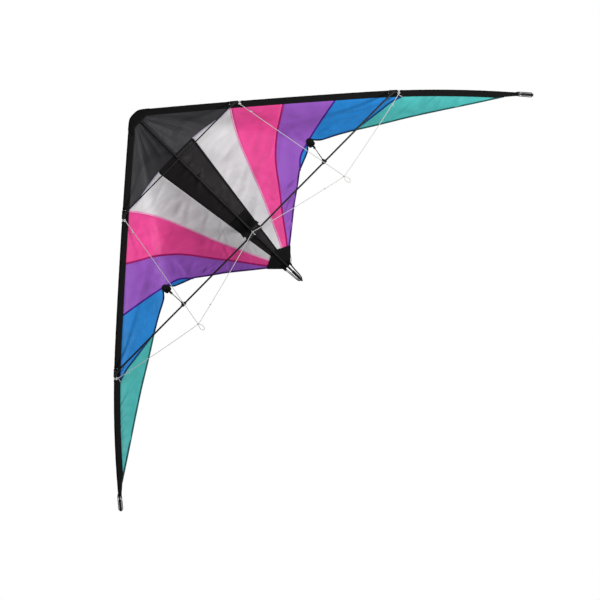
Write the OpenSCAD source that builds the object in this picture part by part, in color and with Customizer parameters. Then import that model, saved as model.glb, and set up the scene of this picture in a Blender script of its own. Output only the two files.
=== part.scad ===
// Two-line delta sport kite, standing upright: nose up (+Z), right wing +X, and its face with the
// bridle towards -Y. The origin is the middle of the fold at the top of the nose strap.
// Lengths are in mm. A 2D point is [x, z] in the plane of the frame, for the right wing.
// "Along" is a distance down the leading edge from its top, and "down" one below the origin.

/* [Frame] */
// Outer diameter of the leading edge and spine tubes
tube_d = 6; // [5.6:0.1:6]
// Wall of the leading edge and spine tubes
tube_wall = 0.95; // [0.7:0.05:1.1]
// Diameter of each lower spreader
lower_rod_d = 5.5; // [4.5:0.1:5.5]
// Diameter of the upper spreader
upper_rod_d = 4; // [3:0.1:4]
// Diameter of each standoff rod
standoff_d = 3; // [2.5:0.1:3]
// How far the spreaders run in front of the frame's plane
spreader_front = 10; // [9.8:0.1:10.2]
// How far the upper spreader is below the nose
upper_down = 195; // [190:1:200]
// How far the lower spreaders are below the nose
lower_down = 517; // [515:1:520]

/* [Leading edge] */
// Angle between the spine and the top of each leading edge
top_angle = 50; // [49.5:0.1:50.5]
// Bend radius of the upper tube, which is nearly straight
upper_bend = 24000; // [20000:500:28000]
// Bend radius of the lower tube, towards the wing tip
lower_bend = 3450; // [3300:50:3700]
// Where the upper tube meets the lower one, along the leading edge
joint_along = 690; // [680:5:700]
// Where the wing tip ends, along the leading edge
tip_along = 1204; // [1198:1:1210]

/* [Standoffs] */
// Distance from the spine of each standoff's clip
standoff_x = 306; // [304:1:308]
// Angle at which each standoff splays outwards
standoff_splay = 5; // [4:0.5:6]
// Length from the spreader's axis to the sail's edge
standoff_reach = 156; // [150:1:158]
// Lean of each standoff towards the nose
standoff_lean = 21.5; // [20:0.5:23]

/* [Sail] */
// Thickness of each sail plate
cloth = 0.5; // [0.4:0.05:0.6]
// Width of the sleeve from the tube's axis to its inner edge
sleeve_in = 15; // [14.5:0.1:15.5]
// How far the bare leading edge shows each side of a connector
gap_half = 24; // [22:0.5:26]

/* [Lines] */
// Diameter of the bridle line
line_d = 2; // [1.8:0.1:2.1]
// Diameter of the elastic cord at the tips and the tail
elastic_d = 2.5; // [2:0.1:2.6]

/* [Hidden] */
LEFT = -1;
RIGHT = 1;

tube_r = tube_d / 2;
tube_hole = tube_r - tube_wall;
lower_r = lower_rod_d / 2;
upper_r = upper_rod_d / 2;
standoff_r = standoff_d / 2;
line_r = line_d / 2;
elastic_r = elastic_d / 2;
slip = 0.1;              // radial clearance of a rod in its socket
round_fn = 32;           // facets of a drawn circle
arc_fn = 1440;           // facets of a full turn of a leading edge arc
cord_sides = 8;

// ---- Leading edge: two arcs that meet with one tangent ----
le_top = [20, -8];

function degrees(radians) = radians * 180 / PI;
function unit2(angle) = [cos(angle), sin(angle)];

joint_angle = top_angle - degrees(joint_along / upper_bend);
upper_center = le_top - upper_bend * unit2(top_angle);
joint_point = upper_center + upper_bend * unit2(joint_angle);
lower_center = joint_point - lower_bend * unit2(joint_angle);

// Angle of the leading edge's outward normal at a distance along it
function le_angle(along) =
  along < joint_along ? top_angle - degrees(along / upper_bend)
                      : joint_angle - degrees((along - joint_along) / lower_bend);
// Point at a distance along the leading edge, and this far outside its axis
function le_point(along, out = 0) =
  along < joint_along ? upper_center + (upper_bend + out) * unit2(le_angle(along))
                      : lower_center + (lower_bend + out) * unit2(le_angle(along));
// Distance along the upper arc, and along the lower one, at which the axis is this far down
function upper_along(down) =
  (top_angle - asin((-down - upper_center[1]) / upper_bend)) * PI / 180 * upper_bend;
function lower_along(down) =
  joint_along + (joint_angle - asin((-down - lower_center[1]) / lower_bend)) * PI / 180 * lower_bend;

upper_at = upper_along(upper_down);
lower_at = lower_along(lower_down);
upper_x = le_point(upper_at)[0];
lower_x = le_point(lower_at)[0];

tube_start = 6;          // the tubes start this far along, inside the nose strap
tube_end = tip_along - 14;
sleeve_start = 10;
sleeve_end = tip_along - 46;
sleeve_wall = 0.9;
sleeve_r = tube_r + slip + sleeve_wall;
cloth_gap = 0.3;         // between the sleeve's edge and the sail plates

// Sweeps a 2D profile along one of the arcs; the profile's x points outwards, its y to the front
module upper_arc(from, to)
  translate([upper_center[0], 0, upper_center[1]])
    rotate([90, 0, 0])
      rotate([0, 0, le_angle(to)])
        rotate_extrude(angle = degrees((to - from) / upper_bend), $fn = arc_fn)
          translate([upper_bend, 0]) children();
module lower_arc(from, to)
  translate([lower_center[0], 0, lower_center[1]])
    rotate([90, 0, 0])
      rotate([0, 0, le_angle(to)])
        rotate_extrude(angle = degrees((to - from) / lower_bend), $fn = arc_fn)
          translate([lower_bend, 0]) children();

// Puts a child, drawn along +Z, on the leading edge's axis and pointing towards the wing tip
module on_le(along)
  translate([le_point(along)[0], 0, le_point(along)[1]])
    rotate([0, 180 - le_angle(along), 0]) children();

module wing(side) mirror([side == LEFT ? 1 : 0, 0, 0]) children();

// ---- Sail surface ----
ridge = 0.68;            // share of the way from spine to leading edge where the sail is deepest
sail_back = 4.2;         // depth of the sail's middle at the leading edge
spine_back = 4;          // how much deeper it lies behind the spine
nose_flat = 40;          // the billow starts this far from the nose, below the strap
standoff_rise = standoff_reach * cos(standoff_splay);
hook_x = standoff_x + standoff_reach * sin(standoff_splay);
standoff_back = standoff_rise * cos(standoff_lean) - spreader_front;
standoff_down = lower_down - standoff_rise * sin(standoff_lean);
sail_depth = standoff_back - sail_back - spine_back * pow(1 - ridge, 2);
sail_reach = norm([hook_x, standoff_down]);

// How far a point is inside the leading edge's axis
function inside_le(p) =
  atan2(p[1] - upper_center[1], p[0] - upper_center[0]) > joint_angle
    ? upper_bend - norm(p - upper_center) : lower_bend - norm(p - lower_center);
function across(p) =
  let (x = abs(p[0])) x / max(1, x + inside_le([x, p[1]]) - sleeve_in);
// Depth behind the frame of the sail's middle, at a point of the wing
function sail_y(p) =
  let (v = min(1, across(p)),
       bulge = v < ridge ? sin(90 * v / ridge) : cos(90 * (v - ridge) / (1 - ridge)))
  sail_back + spine_back * pow(1 - v, 2)
    + sail_depth * max(0, norm(p) - nose_flat) / (sail_reach - nose_flat)
      * pow(max(0, bulge), 1.5);

// ---- Seams and edges of the right wing, as points from the leading edge inwards ----
function le_edge(along) = le_point(along, -sleeve_in - cloth_gap);
hem_corner = le_edge(upper_at - 13);
pink_corner = le_edge(upper_at + 150);
purple_corner = le_edge(upper_at + 310);
blue_corner = le_edge(lower_at + 30);
spine_edge = 0.2;        // the two nose panels stop this short of the middle

nose_hem = [hem_corner, [187, -197], [150, -191], [112, -184], [73, -180]];
nose_hem_middle = [[36, -180], [spine_edge, -180]];
center_seam = [for (k = [0:8]) [73 - 8 * k, -180 - 55.25 * k]];
grey_seam = [hem_corner, [200, -228], [170, -282], [140, -353], [108, -434], [88, -480],
  [66, -528], [45, -574], [24, -616]];
pink_seam = [pink_corner, [306, -328], [266, -354], [208, -406], [147, -484], [115, -524],
  [90, -556], [62, -594], [41, -620]];
purple_seam = [purple_corner, [372, -426], [304, -443], [268, -456], [236, -485]];
blue_seam = [blue_corner, [578, -534], [538, -529], [490, -523], [440, -516]];
inner_edge = [[236, -485], [195, -515], [150, -546], [97, -587], [48, -625]];
notch_edge = [[236, -485], [294, -462], [310, -448], [330, -448], [350, -466], [397, -491],
  [440, -516]];
outer_edge = [[440, -516], [501, -555], [592, -611], [670, -662], [754, -718], [829, -770]];
tip_stop = sleeve_end - 42;

function at(line, share) =
  let (s = share * (len(line) - 1), i = min(floor(s), len(line) - 2))
  line[i] + (s - i) * (line[i + 1] - line[i]);
function last(line) = line[len(line) - 1];
// Point of the patch between four edges: side_a and side_b run from edge start to edge end
function patch_point(start, end, side_a, side_b, u, w) =
  (1 - w) * at(side_a, u) + w * at(side_b, u) + (1 - u) * at(start, w) + u * at(end, w)
  - (1 - u) * ((1 - w) * side_a[0] + w * side_b[0])
  - u * ((1 - w) * last(side_a) + w * last(side_b));

// Thin closed plate that follows the sail between four edges, with rows x cols cells
module cloth_plate(start, end, side_a, side_b, rows, cols, front = 0) {
  grid = [for (i = [0:rows]) for (j = [0:cols])
    patch_point(start, end, side_a, side_b, i / rows, j / cols)];
  n = len(grid);
  points = [for (layer = [-1, 1]) for (p = grid)
    [p[0], sail_y(p) - front + layer * cloth / 2, p[1]]];
  function id(i, j, layer) = layer * n + i * (cols + 1) + j;
  faces = concat(
    [for (i = [0:rows - 1]) for (j = [0:cols - 1]) each [
      [id(i, j, 0), id(i + 1, j, 0), id(i + 1, j + 1, 0)],
      [id(i, j, 0), id(i + 1, j + 1, 0), id(i, j + 1, 0)],
      [id(i, j, 1), id(i + 1, j + 1, 1), id(i + 1, j, 1)],
      [id(i, j, 1), id(i, j + 1, 1), id(i + 1, j + 1, 1)]]],
    [for (i = [0:rows - 1]) each [
      [id(i, 0, 0), id(i, 0, 1), id(i + 1, 0, 1)],
      [id(i, 0, 0), id(i + 1, 0, 1), id(i + 1, 0, 0)],
      [id(i, cols, 0), id(i + 1, cols, 0), id(i + 1, cols, 1)],
      [id(i, cols, 0), id(i + 1, cols, 1), id(i, cols, 1)]]],
    [for (j = [0:cols - 1]) each [
      [id(0, j, 0), id(0, j + 1, 0), id(0, j + 1, 1)],
      [id(0, j, 0), id(0, j + 1, 1), id(0, j, 1)],
      [id(rows, j, 0), id(rows, j + 1, 1), id(rows, j + 1, 0)],
      [id(rows, j, 0), id(rows, j, 1), id(rows, j + 1, 1)]]]);
  polyhedron(points, faces, convexity = 8);
}

// ---- Routes of the lines, [x, y, z], right side; straight ones need few points ----
upper_wrap_at = upper_at + 17;
lower_wrap_at = lower_at + 17;
wrap_r = tube_r + line_r + 0.05;
tow_point = [317, -21, -591];
upper_start = le_point(upper_wrap_at, -wrap_r);
lower_start = le_point(lower_wrap_at, -wrap_r);
inhaul_start = [3, -18, -512];
knot_r = 2.8;
loop_route = [[-1.8, 0, -3.9], [-5, 0, -9], [-6, 0, -15], [-4, 0, -22], [0, 0, -25],
  [4, 0, -22], [6, 0, -15], [5, 0, -9], [1.8, 0, -3.9]];
// Elastic loops: [along or down, out from the axis] in the plane of the frame
tip_route = [[-44, 5.3], [-38, 6], [-26, 6.3], [-12, 6.4], [-6.5, 6.4], [-3.8, 3.9], [-3, 0],
  [-3.8, -3.9], [-6.5, -6.4], [-12, -6.4], [-26, -6.3], [-38, -6], [-44, -5.3]];
tail_route = [[-10, -662], [-8, -680], [-7, -700], [-6, -714], [-4, -720], [0, -722],
  [4, -720], [6, -714], [7, -700], [8, -680], [10, -662]];

function between(a, b, count) = [for (k = [0:count]) a + (b - a) * k / count];

module cord(route, radius) {
  count = len(route);
  function heading(i) =
    let (d = route[min(i + 1, count - 1)] - route[max(i - 1, 0)]) d / norm(d);
  rings = [for (i = [0:count - 1])
    let (t = heading(i), side = cross(t, [0, 1, 0]), a = side / norm(side), b = cross(t, a))
    for (j = [0:cord_sides - 1])
      route[i] + radius * (cos(360 * j / cord_sides) * a + sin(360 * j / cord_sides) * b)];
  faces = concat(
    [[for (j = [0:cord_sides - 1]) j]],
    [[for (j = [cord_sides - 1:-1:0]) (count - 1) * cord_sides + j]],
    [for (i = [0:count - 2]) for (j = [0:cord_sides - 1])
      let (k = (j + 1) % cord_sides, base = i * cord_sides)
      [base + j, base + cord_sides + j, base + cord_sides + k, base + k]]);
  polyhedron(rings, faces, convexity = 4);
}

// A cylinder along X, centred on x
module bar_x(x, length, radius)
  translate([x - length / 2, 0, 0]) rotate([0, 90, 0])
    cylinder(h = length, r = radius, $fn = round_fn);
module bar_z(low, high, radius)
  translate([0, 0, low]) cylinder(h = high - low, r = radius, $fn = round_fn);
module tube_profile() difference() {
  circle(tube_r, $fn = round_fn);
  circle(tube_hole, $fn = round_fn);
}

// ---- Frame ----
spine_top = -12;
spine_end = -700;
module spine() color("#161618") difference() {
  bar_z(spine_end, spine_top, tube_r);
  bar_z(spine_end - 1, spine_top + 1, tube_hole);
}

nock_top = -684;
nock_end = -726;
nock_r = 4.4;
nock_tip_r = 3.2;
nock_step = -716;        // where the wide part ends
nock_slot_w = 3;
nock_slot = 6.4;         // depth of the slot that holds the elastic
module spine_tail_nock() color("#0c0c0d") difference() {
  union() {
    bar_z(nock_step, nock_top, nock_r);
    bar_z(nock_end, nock_step + 1, nock_tip_r);
  }
  bar_z(spine_end, nock_top + 1, tube_r + 0.05);
  translate([-nock_r - 1, -nock_slot_w / 2, nock_end - 1])
    cube([2 * nock_r + 2, nock_slot_w, nock_slot + 1]);
}

strap_half = 26;
strap_low = -30;
strap_front = -5.2;
strap_back = 10;
strap_wall = 0.8;
module nose_strap() color("#141416") difference() {
  translate([-strap_half, strap_front, strap_low])
    cube([2 * strap_half, strap_back - strap_front, -strap_low]);
  translate([-strap_half - 1, strap_front + strap_wall, strap_low - 1])
    cube([2 * strap_half + 2, strap_back - strap_front - 2 * strap_wall, -strap_low]);
}

tee_r = 6.3;
tee_half = 30;
tee_wall = 4.5;          // half of the wall between the two sockets
tee_height = 40;
module center_tee() color("#0f0f10") difference() {
  union() {
    bar_z(-lower_down - tee_height / 2, -lower_down + tee_height / 2, tee_r);
    translate([0, -spreader_front, -lower_down]) bar_x(0, 2 * tee_half, tee_r - 0.3);
  }
  bar_z(-lower_down - tee_height, -lower_down + tee_height, tube_r + 0.05);
  for (side = [LEFT, RIGHT])
    translate([0, -spreader_front, -lower_down])
      bar_x(side * (tee_wall + tee_half), 2 * tee_half, lower_r + slip);
}

connector_long = 26;
connector_r = 5.8;
socket_in = 13;          // how far each socket reaches inside the leading edge's axis
socket_out = 2;          // and how far past it
module le_connector(along, x, down, rod_r) color("#0f0f10") difference() {
  union() {
    on_le(along - connector_long / 2) bar_z(0, connector_long, connector_r);
    translate([0, -spreader_front, -down])
      bar_x(x + (socket_out - socket_in) / 2, socket_in + socket_out, rod_r + 2.6);
    translate([x - 6, -spreader_front, -down - 3]) cube([8, 6, 6]);
  }
  on_le(along - connector_long / 2) bar_z(-4, connector_long + 4, tube_r + slip);
  translate([0, -spreader_front, -down]) bar_x(x, connector_long + 2, rod_r + slip);
}
module upper_le_connector(side) wing(side) le_connector(upper_at, upper_x, upper_down, upper_r);
module lower_le_connector(side) wing(side) le_connector(lower_at, lower_x, lower_down, lower_r);

module upper_spreader() color("#101012")
  translate([0, -spreader_front, -upper_down]) bar_x(0, 2 * (upper_x + socket_out), upper_r);

rod_start = tee_wall + 0.5;
module lower_spreader(side) color("#101012") wing(side)
  translate([0, -spreader_front, -lower_down])
    bar_x((rod_start + lower_x + socket_out) / 2, lower_x + socket_out - rod_start, lower_r);

module le_upper_spar(side) color("#161618") wing(side)
  upper_arc(tube_start, joint_along) tube_profile();
module le_lower_spar(side) color("#161618") wing(side)
  lower_arc(joint_along, tube_end) tube_profile();

ferrule_half = 40;
module le_ferrule(side) color("#3a3a3c") wing(side) {
  upper_arc(joint_along - ferrule_half, joint_along) circle(tube_hole - slip, $fn = round_fn);
  lower_arc(joint_along, joint_along + ferrule_half) circle(tube_hole - slip, $fn = round_fn);
}

tip_nock_long = 36;
tip_slot = 7;
module wingtip_nock(side) color("#0c0c0d") wing(side)
  on_le(tip_along - tip_nock_long) difference() {
    bar_z(0, tip_nock_long, nock_r);
    bar_z(-1, tip_nock_long - 13, tube_r + 0.15);
    translate([-nock_r - 1, -nock_slot_w / 2, tip_nock_long - tip_slot])
      cube([2 * nock_r + 2, nock_slot_w, tip_slot + 1]);
  }

// ---- Standoffs: drawn along +Z from the spreader's axis, splayed, then laid back ----
module standoff_frame(side) wing(side)
  translate([standoff_x, -spreader_front, -lower_down])
    rotate([standoff_lean - 90, 0, 0]) children();
module splayed() rotate([0, standoff_splay, 0]) children();

clip_long = 14;
clip_r = 5.2;
clip_boss_r = 3.4;
clip_top = 20;
clip_floor = 8;
module standoff_clip(side) color("#0f0f10") standoff_frame(side) difference() {
  union() {
    bar_x(0, clip_long, clip_r);
    splayed() bar_z(0, clip_top, clip_boss_r);
  }
  bar_x(0, clip_long + 2, lower_r + slip);
  splayed() bar_z(clip_floor, clip_top + 1, standoff_r + 0.05);
}

rod_top = standoff_reach - 10;
module standoff_rod(side) color("#2c2c2e") standoff_frame(side)
  splayed() bar_z(clip_floor, rod_top, standoff_r);

cap_r = 3.6;
hook_w = 2.6;            // the mouth that holds the sail's edge, open towards the nose
hook_in = 10;
hook_floor = 0.6;
module standoff_nock(side) color("#0c0c0d") standoff_frame(side) splayed() difference() {
  bar_z(standoff_reach - 22, standoff_reach + 6, cap_r);
  bar_z(standoff_reach - 23, rod_top, standoff_r + 0.05);
  translate([-cap_r - 1, -hook_in, standoff_reach - hook_w / 2])
    cube([2 * cap_r + 2, hook_in + hook_floor, hook_w]);
}

// A plate behind the sail's edge, which hangs down into the hook
patch_half = 12;
patch_high = 16;
patch_thick = 1.1;
module standoff_patch(side) color("#131314") standoff_frame(side) splayed()
  translate([-patch_half, -patch_high - 0.4, standoff_reach - patch_thick / 2])
    cube([2 * patch_half, patch_high, patch_thick]);

// ---- Sail ----
module sleeve_profile() {
  difference() {
    union() {
      circle(sleeve_r, $fn = round_fn);
      translate([-sleeve_in, -sleeve_r]) square([sleeve_in, sleeve_wall]);
    }
    circle(tube_r + slip, $fn = round_fn);
  }
}
// The sleeve's inner edge, which runs on behind each connector
gap_strip = 8;
strip_inset = 0.2;       // it is a little thinner than the two layers of the sleeve
strip_past = 3;
module strip_profile()
  translate([strip_inset - sleeve_in, strip_inset - sleeve_r])
    square([gap_strip, sleeve_wall - 2 * strip_inset]);
module le_sleeve(side) color("#101012") wing(side) {
  upper_arc(upper_at - gap_half - strip_past, upper_at + gap_half + strip_past) strip_profile();
  lower_arc(lower_at - gap_half - strip_past, lower_at + gap_half + strip_past) strip_profile();
  upper_arc(sleeve_start, upper_at - gap_half) sleeve_profile();
  upper_arc(upper_at + gap_half, joint_along) sleeve_profile();
  lower_arc(joint_along, lower_at - gap_half) sleeve_profile();
  lower_arc(lower_at + gap_half, sleeve_end) sleeve_profile();
}

nose_top = 20;           // the nose panels start this far down, under the strap
module nose_panel(side) color("#3c3c3f") wing(side)
  cloth_plate([le_edge(nose_top), [spine_edge, -nose_top]],
    concat(nose_hem, nose_hem_middle),
    [le_edge(nose_top), hem_corner], [[spine_edge, -nose_top], [spine_edge, -180]], 6, 6);

module center_panel() color("#232022")
  cloth_plate([[-73, -180], [-36, -180], [0, -180], [36, -180], [73, -180]],
    [[-4, -656], [4, -656]],
    concat([for (p = center_seam) [-p[0], p[1]]], [[-4, -656]]),
    concat(center_seam, [[4, -656]]), 9, 4);

module grey_panel(side) color("#c8c6c8") wing(side)
  cloth_plate(nose_hem, [last(grey_seam), last(center_seam)], grey_seam, center_seam, 8, 4);

module pink_panel(side) color("#dd4a93") wing(side)
  cloth_plate([pink_corner, hem_corner], [last(pink_seam), last(grey_seam)],
    pink_seam, grey_seam, 8, 4);

module purple_panel(side) color("#8648ad") wing(side)
  cloth_plate([purple_corner, pink_corner], [last(inner_edge), last(pink_seam)],
    concat(purple_seam, [for (k = [1:4]) inner_edge[k]]), pink_seam, 8, 4);

module blue_panel(side) color("#2a78be") wing(side)
  cloth_plate([purple_corner, blue_corner], notch_edge, purple_seam, blue_seam, 4, 6);

teal_le = [for (k = [0:5]) le_edge(lower_at + 30 + (tip_stop - lower_at - 30) * k / 5)];
module teal_panel(side) color("#4fb9b0") wing(side)
  cloth_plate(blue_seam, [last(teal_le), last(outer_edge)], teal_le, outer_edge, 5, 4);

tee_patch_front = 0.9;   // how far the patches lie in front of the sail's middle
tail_patch_front = 1.8;
module tee_patch() color("#141416")
  cloth_plate([[-30, -446], [0, -446], [30, -446]], [[-33, -506], [0, -506], [33, -506]],
    [[-30, -446], [-33, -506]], [[30, -446], [33, -506]], 2, 4, tee_patch_front);
module tail_patch() color("#141416")
  cloth_plate([[-14, -604], [0, -600], [14, -604]], [[-10, -660], [0, -663], [10, -660]],
    [[-14, -604], [-44, -629], [-10, -660]], [[14, -604], [44, -629], [10, -660]],
    4, 4, tail_patch_front);

// ---- Bridle and elastic ----
module upper_outhaul(side) color("#e9e7e1") wing(side)
  cord(between([upper_start[0], 0, upper_start[1]] + [-1, -3, -1], tow_point + [0, 0, knot_r], 5),
    line_r);
module lower_outhaul(side) color("#e9e7e1") wing(side)
  cord(between([lower_start[0], 0, lower_start[1]] + [-1, -3, -1], tow_point + [knot_r, 0, 0], 5),
    line_r);
module inhaul(side) color("#e9e7e1") wing(side)
  cord(between(inhaul_start, tow_point - [knot_r, 0, 0], 5), line_r);
module tow_knot(side) color("#e9e7e1") wing(side)
  translate(tow_point) sphere(knot_r, $fn = round_fn);
module tow_loop(side) color("#e9e7e1") wing(side)
  cord([for (p = loop_route) tow_point + p], line_r);
module line_ring() rotate_extrude($fn = round_fn)
  translate([wrap_r, 0]) circle(line_r, $fn = round_fn);
module bridle_wraps() color("#e9e7e1") {
  for (side = [LEFT, RIGHT]) for (along = [upper_wrap_at, lower_wrap_at])
    wing(side) on_le(along) line_ring();
  translate([0, -18, -512]) sphere(2.5, $fn = round_fn);
}

module wingtip_bungee(side) color("#0a0a0b") wing(side)
  cord([for (p = tip_route) let (q = le_point(tip_along + p[0], p[1])) [q[0], 0, q[1]]],
    elastic_r);
module tail_bungee() color("#0a0a0b")
  cord([for (p = tail_route) [p[0], 0, p[1]]], elastic_r);

spine();
spine_tail_nock();
nose_strap();
center_tee();
upper_spreader();
lower_spreader(LEFT);  // lower_spreader_l
lower_spreader(RIGHT);  // lower_spreader_r
le_upper_spar(LEFT);  // le_upper_spar_l
le_upper_spar(RIGHT);  // le_upper_spar_r
le_lower_spar(LEFT);  // le_lower_spar_l
le_lower_spar(RIGHT);  // le_lower_spar_r
le_ferrule(LEFT);  // le_ferrule_l
le_ferrule(RIGHT);  // le_ferrule_r
upper_le_connector(LEFT);  // upper_le_connector_l
upper_le_connector(RIGHT);  // upper_le_connector_r
lower_le_connector(LEFT);  // lower_le_connector_l
lower_le_connector(RIGHT);  // lower_le_connector_r
wingtip_nock(LEFT);  // wingtip_nock_l
wingtip_nock(RIGHT);  // wingtip_nock_r
standoff_clip(LEFT);  // standoff_clip_l
standoff_clip(RIGHT);  // standoff_clip_r
standoff_rod(LEFT);  // standoff_rod_l
standoff_rod(RIGHT);  // standoff_rod_r
standoff_nock(LEFT);  // standoff_nock_l
standoff_nock(RIGHT);  // standoff_nock_r
standoff_patch(LEFT);  // standoff_patch_l
standoff_patch(RIGHT);  // standoff_patch_r
le_sleeve(LEFT);  // le_sleeve_l
le_sleeve(RIGHT);  // le_sleeve_r
nose_panel(LEFT);  // nose_panel_l
nose_panel(RIGHT);  // nose_panel_r
center_panel();
grey_panel(LEFT);  // grey_panel_l
grey_panel(RIGHT);  // grey_panel_r
pink_panel(LEFT);  // pink_panel_l
pink_panel(RIGHT);  // pink_panel_r
purple_panel(LEFT);  // purple_panel_l
purple_panel(RIGHT);  // purple_panel_r
blue_panel(LEFT);  // blue_panel_l
blue_panel(RIGHT);  // blue_panel_r
teal_panel(LEFT);  // teal_panel_l
teal_panel(RIGHT);  // teal_panel_r
tee_patch();
tail_patch();
upper_outhaul(LEFT);  // upper_outhaul_l
upper_outhaul(RIGHT);  // upper_outhaul_r
lower_outhaul(LEFT);  // lower_outhaul_l
lower_outhaul(RIGHT);  // lower_outhaul_r
inhaul(LEFT);  // inhaul_l
inhaul(RIGHT);  // inhaul_r
tow_knot(LEFT);  // tow_knot_l
tow_knot(RIGHT);  // tow_knot_r
tow_loop(LEFT);  // tow_loop_l
tow_loop(RIGHT);  // tow_loop_r
bridle_wraps();
wingtip_bungee(LEFT);  // wingtip_bungee_l
wingtip_bungee(RIGHT);  // wingtip_bungee_r
tail_bungee();
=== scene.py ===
"""Looks of a two-line delta sport kite: ripstop sail, sleeves, seams, bridle and elastic.

All lengths are in metres, in the CAD model's frame: nose up (+Z), right wing +X, bridle side -Y,
and the origin at the top of the nose. A 2D point is (x, z) on the right wing; "along" is a
distance down the leading edge from its top, and "out" one outside its axis.
"""

import math
import random

import bpy
import numpy as np
from mathutils import Matrix, Vector


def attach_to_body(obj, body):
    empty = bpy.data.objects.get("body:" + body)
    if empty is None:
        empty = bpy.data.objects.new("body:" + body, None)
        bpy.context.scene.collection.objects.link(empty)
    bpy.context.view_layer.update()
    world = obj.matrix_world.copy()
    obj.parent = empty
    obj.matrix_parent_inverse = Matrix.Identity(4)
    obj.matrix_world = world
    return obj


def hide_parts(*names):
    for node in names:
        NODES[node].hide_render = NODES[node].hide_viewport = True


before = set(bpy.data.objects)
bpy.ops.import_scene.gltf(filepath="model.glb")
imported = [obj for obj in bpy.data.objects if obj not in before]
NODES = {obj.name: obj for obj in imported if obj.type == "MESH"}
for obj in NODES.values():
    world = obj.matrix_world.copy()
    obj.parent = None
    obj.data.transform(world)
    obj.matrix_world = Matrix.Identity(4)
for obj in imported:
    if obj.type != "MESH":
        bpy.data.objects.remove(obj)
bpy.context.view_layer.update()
SIDES = {"l": -1, "r": 1}

# ---- Camera: a long lens, rolled so that the nose points to the upper left ----
VIEW_CENTER = (-0.047, 0, -0.762)
VIEW_DISTANCE = 6.14
VIEW_YAW = 2.04          # degrees, as are the next two
VIEW_PITCH = -3.37
VIEW_ROLL = 45.4

camera_data = bpy.data.cameras.new("camera")
camera_data.lens = 120
camera_data.sensor_width = 36
camera = bpy.data.objects.new("camera", camera_data)
bpy.context.scene.collection.objects.link(camera)
bpy.context.scene.camera = camera
camera.matrix_world = (
    Matrix.Translation(VIEW_CENTER)
    @ Matrix.Rotation(math.radians(VIEW_YAW), 4, "Z")
    @ Matrix.Rotation(math.radians(VIEW_PITCH), 4, "X")
    @ Matrix.Rotation(math.radians(VIEW_ROLL), 4, "Y")
    @ Matrix.Translation((0, -VIEW_DISTANCE, 0))
    @ Matrix.Rotation(math.radians(90), 4, "X")
)

# ---- Leading edge: two arcs that meet with one tangent ----
TUBE_R = 0.003
LINE_R = 0.001
ELASTIC_R = 0.00125
TOP_ANGLE = math.radians(50)
UPPER_BEND = 24.0        # radius of the upper arc
LOWER_BEND = 3.45
JOINT_ALONG = 0.690      # where the two arcs meet
TIP_ALONG = 1.204
UPPER_DOWN = 0.195       # the two spreaders' distances below the nose
LOWER_DOWN = 0.517
GAP_HALF = 0.024         # the bare leading edge each side of a connector
SLEEVE_IN = 0.015        # the sail starts this far inside the leading edge's axis
SLEEVE_START = 0.010
SLEEVE_END = TIP_ALONG - 0.046


def unit2(angle):
    return np.stack([np.cos(angle), np.sin(angle)], -1)


JOINT_ANGLE = TOP_ANGLE - JOINT_ALONG / UPPER_BEND
UPPER_CENTER = np.array([0.020, -0.008]) - UPPER_BEND * unit2(TOP_ANGLE)
LOWER_CENTER = UPPER_CENTER + (UPPER_BEND - LOWER_BEND) * unit2(JOINT_ANGLE)


def le_angle(along):
    """Angle of the leading edge's outward normal."""
    along = np.asarray(along, float)
    return np.where(along < JOINT_ALONG, TOP_ANGLE - along / UPPER_BEND,
                    JOINT_ANGLE - (along - JOINT_ALONG) / LOWER_BEND)


def le_point(along, out=0.0):
    """2D point on the leading edge's axis, or outside it."""
    along = np.asarray(along, float)
    upper = (along < JOINT_ALONG)[..., None]
    center = np.where(upper, UPPER_CENTER, LOWER_CENTER)
    radius = np.where(upper, UPPER_BEND, LOWER_BEND) + np.asarray(out)[..., None]
    return center + radius * unit2(le_angle(along))


UPPER_AT = (TOP_ANGLE - math.asin((-UPPER_DOWN - UPPER_CENTER[1]) / UPPER_BEND)) * UPPER_BEND
LOWER_AT = JOINT_ALONG + LOWER_BEND * (
    JOINT_ANGLE - math.asin((-LOWER_DOWN - LOWER_CENTER[1]) / LOWER_BEND))

# ---- Sail surface ----
RIDGE = 0.68             # share of the way from spine to leading edge where the sail is deepest
SAIL_BACK = 0.0042
SPINE_BACK = 0.004
NOSE_FLAT = 0.040
STANDOFF_X = 0.306
STANDOFF_REACH = 0.156
STANDOFF_LEAN = math.radians(21.5)
STANDOFF_SPLAY = math.radians(5)
SPREADER_FRONT = 0.010
STANDOFF_RISE = STANDOFF_REACH * math.cos(STANDOFF_SPLAY)
HOOK = np.array([STANDOFF_X + STANDOFF_REACH * math.sin(STANDOFF_SPLAY),
                 STANDOFF_RISE * math.cos(STANDOFF_LEAN) - SPREADER_FRONT,
                 -LOWER_DOWN + STANDOFF_RISE * math.sin(STANDOFF_LEAN)])
SAIL_DEPTH = HOOK[1] - SAIL_BACK - SPINE_BACK * (1 - RIDGE) ** 2
SAIL_REACH = math.hypot(HOOK[0], HOOK[2])


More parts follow.
